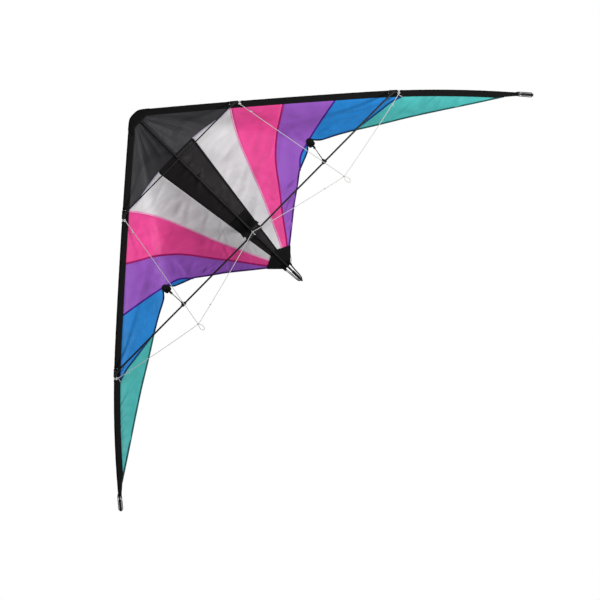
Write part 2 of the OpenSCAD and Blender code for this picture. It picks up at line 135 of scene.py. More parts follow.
def sail_y(x, z):
    """Depth of the taut sail behind the frame's plane, as in the CAD model."""
    x = np.abs(x)
    angle = np.arctan2(z - UPPER_CENTER[1], x - UPPER_CENTER[0])
    inside = np.where(angle > JOINT_ANGLE,
                      UPPER_BEND - np.hypot(x - UPPER_CENTER[0], z - UPPER_CENTER[1]),
                      LOWER_BEND - np.hypot(x - LOWER_CENTER[0], z - LOWER_CENTER[1]))
    v = np.minimum(1, x / np.maximum(0.001, x + inside - SLEEVE_IN))
    bulge = np.where(v < RIDGE, np.sin(np.pi / 2 * v / RIDGE),
                     np.cos(np.pi / 2 * (v - RIDGE) / (1 - RIDGE)))
    reach = np.maximum(0, np.hypot(x, z) - NOSE_FLAT) / (SAIL_REACH - NOSE_FLAT)
    return (SAIL_BACK + SPINE_BACK * (1 - v) ** 2
            + SAIL_DEPTH * reach * np.maximum(0, bulge) ** 1.5)


def sail_frame(points, sign):
    """Points on the sail's middle and its front normals there, for 2D points of one wing."""
    x, z = points[..., 0], points[..., 1]
    step = 0.0005
    y = sail_y(x, z)
    slope_x = (sail_y(x + step, z) - sail_y(x - step, z)) / (2 * step)
    slope_z = (sail_y(x, z + step) - sail_y(x, z - step)) / (2 * step)
    normal = np.stack([slope_x * sign, -np.ones_like(x), slope_z], -1)
    normal /= np.linalg.norm(normal, axis=-1, keepdims=True)
    return np.stack([x * sign, y, z], -1), normal


# ---- Curves in the wing's plane: functions of a share from 0 to 1 ----
def smooth(points):
    """A smooth curve through points, which pass at even shares."""
    p = np.array(points, float)
    ends = np.vstack([2 * p[0] - p[1], p, 2 * p[-1] - p[-2]])

    def curve(share):
        s = np.clip(np.asarray(share, float), 0, 1) * (len(p) - 1)
        i = np.minimum(s.astype(int), len(p) - 2)
        t = (s - i)[..., None]
        a, b, c, d = (ends[i + k] for k in range(4))
        return 0.5 * (2 * b + (c - a) * t + (2 * a - 5 * b + 4 * c - d) * t ** 2
                      + (3 * b - a - 3 * c + d) * t ** 3)
    return curve


def straight(start, end):
    start, end = np.array(start, float), np.array(end, float)
    return lambda share: start + (end - start) * np.asarray(share, float)[..., None]


def joined(first, second, at=0.5):
    """One curve up to a share, then the other."""
    def curve(share):
        share = np.asarray(share, float)
        early = (share < at)[..., None]
        return np.where(early, first(np.minimum(share / at, 1)),
                        second(np.maximum((share - at) / (1 - at), 0)))
    return curve


def flipped(curve):
    """The same curve on the left wing."""
    return lambda share: curve(share) * np.array([-1, 1])


def le_line(start, end, out):
    """A curve beside the leading edge between two distances down it."""
    return lambda share: le_point(start + (end - start) * np.asarray(share, float), out)


# ---- Seams and edges of the right wing ----
TUCK = -0.0125           # the panels end under the sleeve, this far from its tube
HEM_AT = UPPER_AT - 0.013
PINK_AT = UPPER_AT + 0.150
PURPLE_AT = UPPER_AT + 0.310
BLUE_AT = LOWER_AT + 0.030
TIP_STOP = SLEEVE_END - 0.042
NOSE_TOP = 0.020
SPINE_EDGE = 0.0002

hem_corner, pink_corner, purple_corner, blue_corner = (
    le_point(at, TUCK) for at in (HEM_AT, PINK_AT, PURPLE_AT, BLUE_AT))
tip_corner = le_point(TIP_STOP, TUCK)
nose_hem = smooth([hem_corner, (0.187, -0.197), (0.150, -0.191), (0.112, -0.184),
                   (0.073, -0.180)])
nose_middle = straight((0.073, -0.180), (SPINE_EDGE, -0.180))
center_seam = straight((0.073, -0.180), (0.009, -0.622))
center_end = straight((0.009, -0.622), (0.004, -0.656))
grey_seam = smooth([hem_corner, (0.200, -0.228), (0.170, -0.282), (0.140, -0.353),
                    (0.108, -0.434), (0.088, -0.480), (0.066, -0.528), (0.045, -0.574),
                    (0.024, -0.616)])
pink_seam = smooth([pink_corner, (0.306, -0.328), (0.266, -0.354), (0.208, -0.406),
                    (0.147, -0.484), (0.115, -0.524), (0.090, -0.556), (0.062, -0.594),
                    (0.041, -0.620)])
purple_seam = smooth([purple_corner, (0.372, -0.426), (0.304, -0.443), (0.268, -0.456),
                      (0.236, -0.485)])
blue_seam = smooth([blue_corner, (0.578, -0.534), (0.538, -0.529), (0.490, -0.523),
                    (0.440, -0.516)])
inner_edge = smooth([(0.236, -0.485), (0.195, -0.515), (0.150, -0.546), (0.097, -0.587),
                     (0.048, -0.625)])
notch_edge = smooth([(0.236, -0.485), (0.294, -0.462), (0.310, -0.448), (0.330, -0.448),
                     (0.350, -0.466), (0.397, -0.491), (0.440, -0.516)])
outer_edge = smooth([(0.440, -0.516), (0.501, -0.555), (0.592, -0.611), (0.670, -0.662),
                     (0.754, -0.718), tip_corner])


# ---- Shader helpers ----
def add_node(tree, kind, inputs=None, **settings):
    """A shader node; an input is a value, or a socket that feeds it."""
    node = tree.nodes.new("ShaderNode" + kind)
    for key, value in settings.items():
        setattr(node, key, value)
    for key, value in (inputs or {}).items():
        if isinstance(value, bpy.types.NodeSocket):
            tree.links.new(value, node.inputs[key])
        else:
            node.inputs[key].default_value = value
    return node


def calc(tree, operation, a, b=0.0):
    return add_node(tree, "Math", {0: a, 1: b}, operation=operation).outputs[0]


def ramp(tree, value, low, high, to_low, to_high):
    """value from low..high as to_low..to_high, held outside them."""
    return add_node(tree, "MapRange", {
        "Value": value, "From Min": low, "From Max": high,
        "To Min": to_low, "To Max": to_high}).outputs["Result"]


def noise(tree, vector, scale, detail=3.0):
    return add_node(tree, "TexNoise", {
        "Vector": vector, "Scale": scale, "Detail": detail}).outputs["Fac"]


def mix(tree, factor, a, b):
    """Colour a where factor is 0 and b where it is 1."""
    node = add_node(tree, "Mix", data_type="RGBA")
    for socket, value in ((0, factor), (6, a), (7, b)):
        if isinstance(value, bpy.types.NodeSocket):
            tree.links.new(value, node.inputs[socket])
        else:
            node.inputs[socket].default_value = value
    return node.outputs[2]


def linear(red, green, blue, scale=1.0):
    """A colour as a screen shows it, 0 to 255, as the light it stands for."""
    def channel(value):
        share = value / 255
        return share / 12.92 if share <= 0.04045 else ((share + 0.055) / 1.055) ** 2.4
    return (*(channel(c) * scale for c in (red, green, blue)), 1.0)


def shaded(color, share):
    """The colour with this share of its light."""
    return (*(c * share for c in color[:3]), 1.0)


def two_tone(tree, value, low, high, color, dark, light):
    """The colour darkened where value is low and lightened where it is high."""
    return mix(tree, ramp(tree, value, low, high, 0, 1), shaded(color, dark),
               shaded(color, light))


def drawn_noise(tree, vector, stretch, detail):
    """Noise drawn out along the axes where the stretch is small."""
    drawn = add_node(tree, "Mapping", {"Vector": vector, "Scale": stretch}).outputs[0]
    return noise(tree, drawn, 1.0, detail)


def new_material(name, turn=0.0, **fixed):
    """A material, its tree and shader, and object coordinates turned about Y by this angle."""
    material = bpy.data.materials.new(name)
    material.use_nodes = True
    tree = material.node_tree
    shader = tree.nodes["Principled BSDF"]
    for key, value in fixed.items():
        shader.inputs[key.replace("_", " ")].default_value = value
    place = add_node(tree, "TexCoord").outputs["Object"]
    turned = add_node(tree, "Mapping", {"Vector": place, "Rotation": (0, turn, 0)})
    return material, tree, shader, turned.outputs["Vector"]


def finish_material(tree, shader, color, rough, height, distance, strength=1.0):
    """Feeds colour, roughness and bump to the shader."""
    tree.links.new(color, shader.inputs["Base Color"])
    tree.links.new(rough, shader.inputs["Roughness"])
    bump = add_node(tree, "Bump", {"Height": height, "Distance": distance, "Strength": strength})
    tree.links.new(bump.outputs["Normal"], shader.inputs["Normal"])


RIPSTOP_PITCH = 0.005
RIPSTOP_LINE = 0.0005


def grid_lines(tree, vector, pitch, width):
    """1 on the reinforcing threads of a ripstop grid and 0 between them."""
    parts = add_node(tree, "SeparateXYZ", {0: vector}).outputs
    lines = [ramp(tree, calc(tree, "PINGPONG", parts[k], pitch / 2), 0, width, 1, 0)
             for k in (0, 2)]
    return calc(tree, "MAXIMUM", *lines), parts


def weave_height(tree, parts, pitch):
    """Over and under of a plain weave, about -1 to 1."""
    waves = [calc(tree, "SINE", calc(tree, "MULTIPLY", parts[k], 2 * math.pi / pitch))
             for k in (0, 2)]
    return calc(tree, "MULTIPLY", *waves)


def ripstop(name, color, turn, shine=0.45):
    """Thin coated nylon with a fine reinforcing grid, slightly uneven in tone."""
    material, tree, shader, place = new_material(
        name, turn, Sheen_Weight=0.06, Sheen_Roughness=0.4, Specular_IOR_Level=0.14)
    lines, parts = grid_lines(tree, place, RIPSTOP_PITCH, RIPSTOP_LINE)
    weave = weave_height(tree, parts, 0.0007)
    cloud = noise(tree, place, 5, 4)
    streak = drawn_noise(tree, place, (4, 30, 34), 5)
    tone = two_tone(tree, cloud, 0.3, 0.7, color, 0.9, 1.08)
    tone = mix(tree, ramp(tree, streak, 0.42, 0.62, 0, 0.6), tone, shaded(color, 0.8))
    tone = mix(tree, calc(tree, "MULTIPLY", lines, 0.35), tone, shaded(color, 0.6))
    height = calc(tree, "ADD", lines, calc(tree, "MULTIPLY", weave, 0.25))
    rough = ramp(tree, noise(tree, place, 60, 2), 0.3, 0.7, shine - 0.06, shine + 0.1)
    finish_material(tree, shader, tone, rough, height, 0.00008, 0.7)
    return material


def heavy_cloth(name, color, turn=0.0, pitch=0.0011, wear=0.5):
    """Dull woven polyester for sleeves, tapes and patches, with fading and lint."""
    material, tree, shader, place = new_material(
        name, turn, Sheen_Weight=0.02, Sheen_Roughness=0.5, Specular_IOR_Level=0.07)
    parts = add_node(tree, "SeparateXYZ", {0: place}).outputs
    weave = weave_height(tree, parts, pitch)
    cloud = noise(tree, place, 14, 4)
    lint = ramp(tree, noise(tree, place, 900, 2), 0.66, 0.74, 0, wear)
    tone = two_tone(tree, cloud, 0.35, 0.7, color, 0.8, 1.25)
    tone = mix(tree, ramp(tree, weave, -0.4, 0.6, 0, 0.45), tone, shaded(color, 0.55))
    tone = mix(tree, lint, tone, shaded(color, 2.2))
    rough = ramp(tree, cloud, 0.3, 0.7, 0.68, 0.82)
    finish_material(tree, shader, tone, rough, weave, 0.00012, 0.8)
    return material


def carbon(name, stretch):
    """Pultruded carbon: satin black with long fine fibres along the rod, scuffed in places."""
    material, tree, shader, place = new_material(name, 0, Specular_IOR_Level=0.2)
    fibres = drawn_noise(tree, place, stretch, 4)
    scuff = ramp(tree, noise(tree, place, 45, 5), 0.58, 0.7, 0, 0.5)
    base = linear(17, 17, 18)
    tone = two_tone(tree, fibres, 0.35, 0.65, base, 0.55, 1.6)
    tone = mix(tree, scuff, tone, shaded(base, 2.6))
    rough = calc(tree, "ADD", ramp(tree, fibres, 0.3, 0.7, 0.3, 0.42),
                 calc(tree, "MULTIPLY", scuff, 0.3))
    finish_material(tree, shader, tone, rough, fibres, 0.00006, 0.5)
    return material


def moulded(name, color, gloss, grain):
    """Moulded rubber or plastic: fine grain, patches of dust, softly rubbed edges."""
    material, tree, shader, place = new_material(name, 0, Specular_IOR_Level=0.15)
    speck = noise(tree, place, grain, 2)
    cloud = noise(tree, place, 120, 4)
    dust = ramp(tree, cloud, 0.55, 0.75, 0, 0.35)
    tone = two_tone(tree, speck, 0.35, 0.65, color, 0.75, 1.2)
    tone = mix(tree, dust, tone, shaded(color, 2.4))
    edge = ramp(tree, add_node(tree, "NewGeometry").outputs["Pointiness"], 0.52, 0.6, 0, 0.6)
    tone = mix(tree, edge, tone, shaded(color, 3.0))
    rough = ramp(tree, cloud, 0.3, 0.7, gloss - 0.06, gloss + 0.1)
    finish_material(tree, shader, tone, rough, speck, 0.0001, 0.4)
    return material


def braid(name, color, pitch, groove_shade=0.35):
    """Braided line or elastic: crossing strands, slightly fuzzy, with soiled stretches, and
    painted shade that darkens the grooves between the strands.
    """
    material, tree, shader, place = new_material(
        name, math.radians(38), Sheen_Weight=0.05, Specular_IOR_Level=0.1)
    parts = add_node(tree, "SeparateXYZ", {0: place}).outputs
    strands = weave_height(tree, parts, pitch)
    soil = ramp(tree, noise(tree, place, 30, 4), 0.45, 0.75, 0, 0.5)
    # painted shade: the colour darkens towards the strands' low spots, where shade falls between
    # them
    tone = two_tone(tree, strands, -0.6, 0.6, color, 1 - groove_shade, 1)
    tone = mix(tree, soil, tone, shaded(color, 0.72))
    rough = ramp(tree, strands, -1, 1, 0.75, 0.6)
    finish_material(tree, shader, tone, rough, strands, 0.0002, 0.9)
    return material


# ---- Mesh helpers ----
def make_mesh(name, points, faces, material, smooth_faces=True):
    mesh = bpy.data.meshes.new(name)
    mesh.from_pydata([tuple(p) for p in np.reshape(points, (-1, 3))], [], faces)
    mesh.materials.append(material)
    mesh.polygons.foreach_set("use_smooth", [smooth_faces] * len(mesh.polygons))
    mesh.validate()
    piece = bpy.data.objects.new(name, mesh)
    bpy.context.scene.collection.objects.link(piece)
    return piece


def grid_faces(rows, cols, wrap_rows=False, wrap_cols=False, flip=False, start=0):
    """Quads of a grid of points whose numbers begin at start."""
    faces = []
    for i in range(rows if wrap_rows else rows - 1):
        for j in range(cols if wrap_cols else cols - 1):
            a, b = i * cols, ((i + 1) % rows) * cols
            k = (j + 1) % cols
            quad = (start + a + j, start + a + k, start + b + k, start + b + j)
            faces.append(quad[::-1] if flip else quad)
    return faces


class Parts:
    """Collects points and faces of many small shapes into one mesh."""

    def __init__(self):
        self.points, self.faces, self.count = [], [], 0

    def add(self, points, faces):
        points = np.reshape(points, (-1, 3))
        self.points.append(points)
        self.faces += [tuple(self.count + k for k in face) for face in faces]
        self.count += len(points)

    def loft(self, rings, closed=False, flip=False):
        """Rings of points, joined in order; open lofts get flat ends."""
        rings = np.asarray(rings)
        rows, cols = rings.shape[:2]
        faces = grid_faces(rows, cols, closed, True, flip)
        if not closed:
            first, last = list(range(cols)), list(range((rows - 1) * cols, rows * cols))
            faces += [first if flip else first[::-1], last[::-1] if flip else last]
        self.add(rings, faces)

    def tube(self, path, radius, closed=False, sides=10):
        """A round tube along a path, turned as little as the path allows."""
        path = np.asarray(path, float)
        if closed:
            ahead, behind = np.roll(path, -1, 0), np.roll(path, 1, 0)
        else:
            ahead = np.vstack([path[1:], 2 * path[-1] - path[-2]])
            behind = np.vstack([2 * path[0] - path[1], path[:-1]])
        heading = ahead - behind
        heading /= np.linalg.norm(heading, axis=1, keepdims=True)
        across = np.cross(heading[0], (0.13, 0.97, 0.21))
        rings = []
        for point, along in zip(path, heading):
            across = across - along * np.dot(across, along)
            across /= np.linalg.norm(across)
            other = np.cross(along, across)
            turn = np.linspace(0, 2 * np.pi, sides, endpoint=False)
            rings.append(point + radius * (np.cos(turn)[:, None] * across
                                           + np.sin(turn)[:, None] * other))
        self.loft(rings, closed)

    def build(self, name, material, smooth_faces=True):
        return make_mesh(name, np.vstack(self.points), self.faces, material, smooth_faces)


def ribbon(parts, curve, sign, count, section):
    """Sweeps a closed section of (across, lift) pairs along a curve that lies on the sail."""
    share = np.linspace(0, 1, count)
    points = curve(share)
    tangent = np.gradient(points, axis=0)
    tangent /= np.linalg.norm(tangent, axis=1, keepdims=True)
    side = np.stack([-tangent[:, 1], tangent[:, 0]], -1)
    rings = []
    for across, lift in section:
        spot, normal = sail_frame(points + side * across, sign)
        rings.append(spot + normal * lift)
    parts.loft(np.stack(rings, 1), flip=sign < 0)


def tape_section(half, thick):
    """A flat sewn tape that covers both faces of the cloth, a little crowned."""
    crown = thick * 1.25
    return [(-half, 0), (-half * 0.9, thick), (0, crown), (half * 0.9, thick), (half, 0),
            (half * 0.9, -thick), (0, -crown), (-half * 0.9, -thick)]


def hem_section(width, thick):
    """A folded hem: round at the cloth's edge, and stepped down to the cloth inside."""
    return [(-0.0005, 0), (-0.0002, thick * 0.8), (width * 0.5, thick * 1.2), (width, thick),
            (width * 1.05, 0), (width, -thick), (width * 0.5, -thick * 1.2),
            (-0.0002, -thick * 0.8)]


STITCH_PITCH = 0.0034
STITCH_LONG = 0.0024
STITCH_R = 0.00028


def stitch_row(parts, curve, sign, across, lift, slant=0.0, pitch=STITCH_PITCH):
    """Raised stitches along a curve, on both faces of the sail; a slant makes a zigzag."""
    fine = curve(np.linspace(0, 1, 400))
    run = np.concatenate([[0], np.cumsum(np.linalg.norm(np.diff(fine, axis=0), axis=1))])
    count = max(2, int(run[-1] / pitch))
    share = np.interp((np.arange(count) + 0.5) / count * run[-1], run, np.linspace(0, 1, 400))
    points = curve(share)
    tangent = curve(np.minimum(share + 0.002, 1)) - curve(np.maximum(share - 0.002, 0))
    tangent /= np.linalg.norm(tangent, axis=1, keepdims=True)
    side = np.stack([-tangent[:, 1], tangent[:, 0]], -1)
    turn = slant * np.where(np.arange(count) % 2, 1, -1)[:, None]
    ahead = tangent * np.cos(turn) + side * np.sin(turn)
    middle, normal = sail_frame(points + side * across, sign)
    tip, _ = sail_frame(points + side * across + ahead * STITCH_LONG / 2, sign)
    along = tip - middle
    width = np.cross(along, normal)
    width *= STITCH_R / np.linalg.norm(width, axis=1, keepdims=True)
    faces = [(0, 2, 4), (2, 1, 4), (1, 3, 4), (3, 0, 4),
             (2, 0, 5), (1, 2, 5), (3, 1, 5), (0, 3, 5)]
    for face in (1, -1):
        for m, n, a, w in zip(middle, normal, along, width):
            base = m + n * face * lift
            parts.add([base - a, base + a, base + w, base - w,
                       base + n * STITCH_R, base - n * STITCH_R], faces)


def catmull3(points, count):
    """count points on a smooth curve through 3D points."""
    return smooth(points)(np.linspace(0, 1, count))


def cord_curve(name, points, radius, material):
    """A round cord through its points, as one open curve with closed ends."""
    data = bpy.data.curves.new(name, "CURVE")
    data.dimensions = "3D"
    data.bevel_depth = radius
    data.bevel_resolution = 3
    data.use_fill_caps = True
    spline = data.splines.new("BEZIER")
    spline.bezier_points.add(len(points) - 1)
    for knot, point in zip(spline.bezier_points, points):
        knot.co = point
        knot.handle_left_type = knot.handle_right_type = "AUTO"
    data.materials.append(material)
    piece = bpy.data.objects.new(name, data)
    bpy.context.scene.collection.objects.link(piece)
    return piece


def curve_length(points):
    return float(np.linalg.norm(np.diff(np.asarray(points), axis=0), axis=1).sum())


def mirrored(point, sign):
    """A 3D point of the right wing, on the wing of this sign."""
    return np.array([point[0] * sign, point[1], point[2]])


def attach(piece, slot, *nodes):
    """Fixes a piece to the frame and hides the CAD nodes it stands for; slot is not used."""
    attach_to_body(piece, "frame")
    if nodes:
        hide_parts(*nodes)
    return piece


def thicken(piece, thickness, offset=0):
    """Gives one layer of cloth its thickness, on both sides, or with offset -1 inside."""
    cloth = piece.modifiers.new("cloth", "SOLIDIFY")
    cloth.thickness = thickness
    cloth.offset = offset


# ---- Bridle lines and elastic, on the CAD model's routes ----
line_material = braid("bridle line", linear(214, 214, 210), 0.0011)
elastic_material = braid("elastic", linear(15, 15, 16), 0.0013, 0.5)

WRAP_AT = {"upper": UPPER_AT + 0.017, "lower": LOWER_AT + 0.017}
WRAP_R = TUBE_R + LINE_R + 0.00005
TOW_POINT = np.array([0.317, -0.021, -0.591])
INHAUL_START = np.array([0.003, -0.018, -0.512])
KNOT_R = 0.0028
LOOP_ROUTE = [(-0.0018, 0, -0.0039), (-0.005, 0, -0.009), (-0.006, 0, -0.015),
              (-0.004, 0, -0.022), (0, 0, -0.025), (0.004, 0, -0.022), (0.006, 0, -0.015),
              (0.005, 0, -0.009), (0.0018, 0, -0.0039)]
TIP_ROUTE = [(-0.044, 0.0053), (-0.038, 0.006), (-0.026, 0.0063), (-0.012, 0.0064),
             (-0.0065, 0.0064), (-0.0038, 0.0039), (-0.003, 0), (-0.0038, -0.0039),
             (-0.0065, -0.0064), (-0.012, -0.0064), (-0.026, -0.0063), (-0.038, -0.006),
             (-0.044, -0.0053)]
TAIL_ROUTE = [(-0.010, -0.662), (-0.008, -0.680), (-0.007, -0.700), (-0.006, -0.714),
              (-0.004, -0.720), (0, -0.722), (0.004, -0.720), (0.006, -0.714),
              (0.007, -0.700), (0.008, -0.680), (0.010, -0.662)]
LEG_POINTS = 18
TAG_R = 0.0006
LEG_BOW = 0.0022         # how far a leg's middle hangs below a straight line


def knot_path(center, size, tilt):
    """A tight overhand knot: a trefoil of this outer size, turned by tilt."""
    t = np.linspace(0, 2 * np.pi, 40, endpoint=False)
    shape = np.stack([np.sin(t) + 2 * np.sin(2 * t), np.cos(t) - 2 * np.cos(2 * t),
                      -1.1 * np.sin(3 * t)], -1) * size / 3
    turn = np.array(Matrix.Rotation(tilt, 3, (0.3, 1, 0.2)))
    return np.asarray(center) + shape @ turn.T


def tag_end(start, heading, length):
    """A short cut end of line that springs away from a knot."""
    heading = np.asarray(heading, float) / np.linalg.norm(heading)
    droop = np.array([0, 0, -0.18 * length])
    share = np.linspace(0, 1, 7)[:, None]
    return np.asarray(start) + heading * length * share + droop * share ** 2


def leg(start, end):
    """A bridle leg from start to end that bows a little under its own weight."""
    share = np.linspace(0, 1, LEG_POINTS)[:, None]
    bow = np.array([0, 0, -LEG_BOW]) * 4 * share * (1 - share)
    return start + (end - start) * share + bow


def hitch(name, key, sign, target):
    """A lark's head round the bare leading edge, with the knot that holds it."""
    center = le_point(WRAP_AT[key])
    angle = float(le_angle(WRAP_AT[key]))
    out = np.array([math.cos(angle) * sign, 0, math.sin(angle)])
    along = np.array([math.sin(angle) * sign, 0, -math.cos(angle)])
    front = np.array([0, -1.0, 0])
    middle = np.array([center[0] * sign, 0, center[1]])
    parts = Parts()
    turn = np.linspace(0, 2 * np.pi, 28, endpoint=False)
    for shift in (-0.00105, 0.00105):
        lean = 0.0002 * np.cos(turn)[:, None] * along
        ring = (middle + along * shift + lean
                + WRAP_R * (np.cos(turn)[:, None] * out + np.sin(turn)[:, None] * front))
        parts.tube(ring, LINE_R, closed=True)
    bight = [middle + along * a + (front * math.cos(b) - out * math.sin(b)) * WRAP_R * c
             for a, b, c in ((-0.0026, 0.5, 1.1), (-0.0016, 0.7, 1.38), (0, 0.8, 1.44),
                             (0.0016, 0.7, 1.38), (0.0026, 0.5, 1.1))]
    parts.tube(catmull3(bight, 12), LINE_R * 0.9)
    start = middle + np.array([-0.001 * sign, -0.003, -0.001]) - out * WRAP_R
    heading = (target - start) / np.linalg.norm(target - start)
    knot = start + heading * 0.004
    parts.tube(knot_path(knot, 0.0019, 0.7 * sign), LINE_R * 0.9, closed=True)
    parts.tube(tag_end(knot, along * 0.8 - out * 0.5 + front * 0.3, 0.012), LINE_R * 0.95)
    return parts.build(name, line_material), start


def tied(name, *tubes):
    """A piece of line made of closed knots and short ends: (path, radius, is closed) each."""
    parts = Parts()
    for path, radius, closed in tubes:
        parts.tube(path, radius, closed)
    return parts.build(name, line_material)


sheets_waiting = []
STOPPER_DOWN = 0.034     # an outhaul's stopper knot below its hitch
STOPPER_SHARE = 0.79     # and the inhaul's, as a share of its length
TEE_RING_Z = -0.515
for suffix, sign in SIDES.items():
    tow = mirrored(TOW_POINT, sign)
    tow_knot = tied(f"tow_knot_{suffix}_cord", (knot_path(tow, 0.0030, 0.4), LINE_R, True),
                    (knot_path(tow + [0, -0.0006, -0.0012], 0.0022, 1.9), LINE_R, True))
    attach(tow_knot, "bridle_line", "tow_knot_" + suffix)
    ends = {"upper": np.array([0, 0, KNOT_R]), "lower": np.array([KNOT_R * sign, 0, 0])}
    for key, end in ends.items():
        far = tow + end
        wrap, start = hitch(f"{key}_hitch_{suffix}", key, sign, far)
        route = leg(start, far)
        outhaul = cord_curve(f"{key}_outhaul_{suffix}_line", route, LINE_R, line_material)
        heading = (far - start) / np.linalg.norm(far - start)
        stop = start + heading * STOPPER_DOWN + [0, 0, -LEG_BOW * 0.35]
        tag = tag_end(stop, heading + [0.5 * sign, 0, -0.2], 0.010)
        stopper = tied(f"{key}_stopper_{suffix}", (knot_path(stop, 0.0019, 0.9), LINE_R, True),
                       (tag, LINE_R * 0.9, False))
        attach(wrap, "bridle_line", "bridle_wraps")
        attach(outhaul, "bridle_line", f"{key}_outhaul_{suffix}")
        attach(stopper, "bridle_line")
    start, far = mirrored(INHAUL_START, sign), tow - [KNOT_R * sign, 0, 0]
    route = leg(start, far)
    inhaul = cord_curve(f"inhaul_{suffix}_line", route, LINE_R, line_material)
    stop = start + (far - start) * STOPPER_SHARE + [0, 0, -LEG_BOW * 0.66]
    stopper = tied("inhaul_stopper_" + suffix, (knot_path(stop, 0.0020, 1.4), LINE_R, True))
    loop_points = catmull3([tow + mirrored(p, sign) for p in LOOP_ROUTE], 21)
    tow_loop = cord_curve(f"tow_loop_{suffix}_line", loop_points, LINE_R, line_material)
    attach(inhaul, "bridle_line", "inhaul_" + suffix)
    attach(stopper, "bridle_line")
    attach(tow_loop, "bridle_line", "tow_loop_" + suffix)
    places = [le_point(TIP_ALONG + along, out) for along, out in TIP_ROUTE]
    tip_points = catmull3([(p[0] * sign, 0, p[1]) for p in places], 33)
    tip_loop = cord_curve(f"wingtip_elastic_{suffix}", tip_points, ELASTIC_R, elastic_material)
    attach(tip_loop, "elastic", "wingtip_bungee_" + suffix)

turn = np.linspace(0, 2 * np.pi, 30, endpoint=False)
tee_rings = [np.stack([0.0008 * np.cos(turn), -0.0097 + 0.0086 * np.cos(turn),
                       TEE_RING_Z + shift + 0.0072 * np.sin(turn)], -1)
             for shift in (-0.0009, 0.0009)]
tee_hitch = tied("tee_hitch", (knot_path((0, -0.018, -0.512), 0.0024, 0.2), LINE_R, True),
                 *((ring, LINE_R, True) for ring in tee_rings))
attach(tee_hitch, "bridle_line", "bridle_wraps")

tail_points = catmull3([(x, 0, z) for x, z in TAIL_ROUTE], 31)
outer_points = catmull3([(x * 1.35 - 0.001, 0.0035, z + 0.001) for x, z in TAIL_ROUTE], 31)
tag_points = catmull3([(0.008, 0.001, -0.658), (0.016, -0.002, -0.6605), (0.023, -0.004, -0.6555),
                       (0.029, -0.004, -0.6465), (0.0345, -0.002, -0.6405)], 16)
for name, points, radius, far_end, lay, nodes in (
        ("tail_elastic", tail_points, ELASTIC_R, "object", "taut", ["tail_bungee"]),
        ("tail_elastic_outer", outer_points, ELASTIC_R, "object", "taut", []),
        ("tail_tag_line", tag_points, TAG_R, "bare", "hanging", [])):
    cord = attach(cord_curve(name, points, radius, elastic_material), "elastic", *nodes)

# ---- Sail panels ----
CLOTH_THICK = 0.0003
CELL = 0.0040            # size of the panels' cells
LIT = 0.85               # keeps the cloth's own colours below what the camera clips

PANELS = {
    # name: start, end, side a, side b, slot, colour, turn of the weave, number of ripples, and
    # whether they run from start to end instead of from side to side
    "nose": (straight(le_point(NOSE_TOP, TUCK), (SPINE_EDGE, -NOSE_TOP)),
             joined(nose_hem, nose_middle, 4 / 6),
             le_line(NOSE_TOP, HEM_AT, TUCK), straight((SPINE_EDGE, -NOSE_TOP),
                                                       (SPINE_EDGE, -0.180)),
             "nose_cloth", (53, 53, 56), 0.0, 18, True),
    "grey": (nose_hem, straight((0.024, -0.616), (0.009, -0.622)), grey_seam, center_seam,
             "grey_cloth", (206, 204, 206), 0.15, 26, False),
    "pink": (le_line(PINK_AT, HEM_AT, TUCK), straight((0.041, -0.620), (0.024, -0.616)),
             pink_seam, grey_seam, "pink_cloth", (226, 70, 143), 0.45, 32, False),
    "purple": (le_line(PURPLE_AT, PINK_AT, TUCK), straight((0.048, -0.625), (0.041, -0.620)),
               joined(purple_seam, inner_edge), pink_seam,
               "purple_cloth", (145, 84, 184), 0.62, 32, False),
    "blue": (le_line(PURPLE_AT, BLUE_AT, TUCK), notch_edge, purple_seam, blue_seam,
             "blue_cloth", (30, 125, 199), 0.75, 18, False),
    "teal": (blue_seam, straight(tip_corner, outer_edge(1.0)), le_line(BLUE_AT, TIP_STOP, TUCK),
             outer_edge, "teal_cloth", (70, 173, 170), 0.86, 20, False),
}


def coons(start, end, side_a, side_b, rows, cols):
    """Grid of 2D points between four curves, as the CAD panels are made."""
    u = np.linspace(0, 1, rows)[:, None, None]
    w = np.linspace(0, 1, cols)[None, :, None]
    a, b = side_a(u[:, 0, 0])[:, None], side_b(u[:, 0, 0])[:, None]
    s, e = start(w[0, :, 0])[None], end(w[0, :, 0])[None]
    corners = ((1 - u) * ((1 - w) * a[:1] + w * b[:1]) + u * ((1 - w) * a[-1:] + w * b[-1:]))
    return (1 - w) * a + w * b + (1 - u) * s + u * e - corners


def ripples(grid, count, lengthwise, draw):
    """Soft creases from side to side of a panel, or from start to end; none at its seams."""
    rows, cols = grid.shape[:2]
    u = np.linspace(0, 1, rows)[:, None]
    w = np.linspace(0, 1, cols)[None, :]
    wide = np.linalg.norm(grid[:, -1] - grid[:, 0], axis=1)[:, None]
    long = np.linalg.norm(np.diff(grid[:, cols // 2], axis=0), axis=1).sum()
    if lengthwise:
        u, w, wide, long = w, u, np.full_like(wide, wide.max()), wide.max()
    height = np.zeros((rows, cols))
    for _ in range(count):
        place, slant = draw.uniform(0.04, 0.94), draw.uniform(-0.16, 0.16)
        width = draw.uniform(0.004, 0.011) / long
        low, high = draw.uniform(-0.2, 0.15), draw.uniform(0.8, 1.2)
        rise = draw.uniform(0.5, 1.0) * draw.choice((-1, 1, 1))
        away = (u - place - slant * (w - 0.5)) / width
        reach = np.clip((w - low) / 0.25, 0, 1) * np.clip((high - w) / 0.25, 0, 1)
        height = height + rise * np.exp(-away ** 2) * reach ** 2
    edge = np.clip(np.sin(np.pi * u), 0, 1) ** 0.35 * np.clip(np.sin(np.pi * w), 0, 1) ** 0.7
    return height * edge * np.clip(wide / 0.10, 0.1, 1)


RIPPLE_HIGH = 0.0024
# The cloth lies flat round each patch: its middle, and how far the calm reaches
CALM_SPOTS = [((HOOK[0], -0.445), 0.035), ((0, -0.476), 0.045), ((0, -0.632), 0.050)]
CALM_EDGE = 0.040


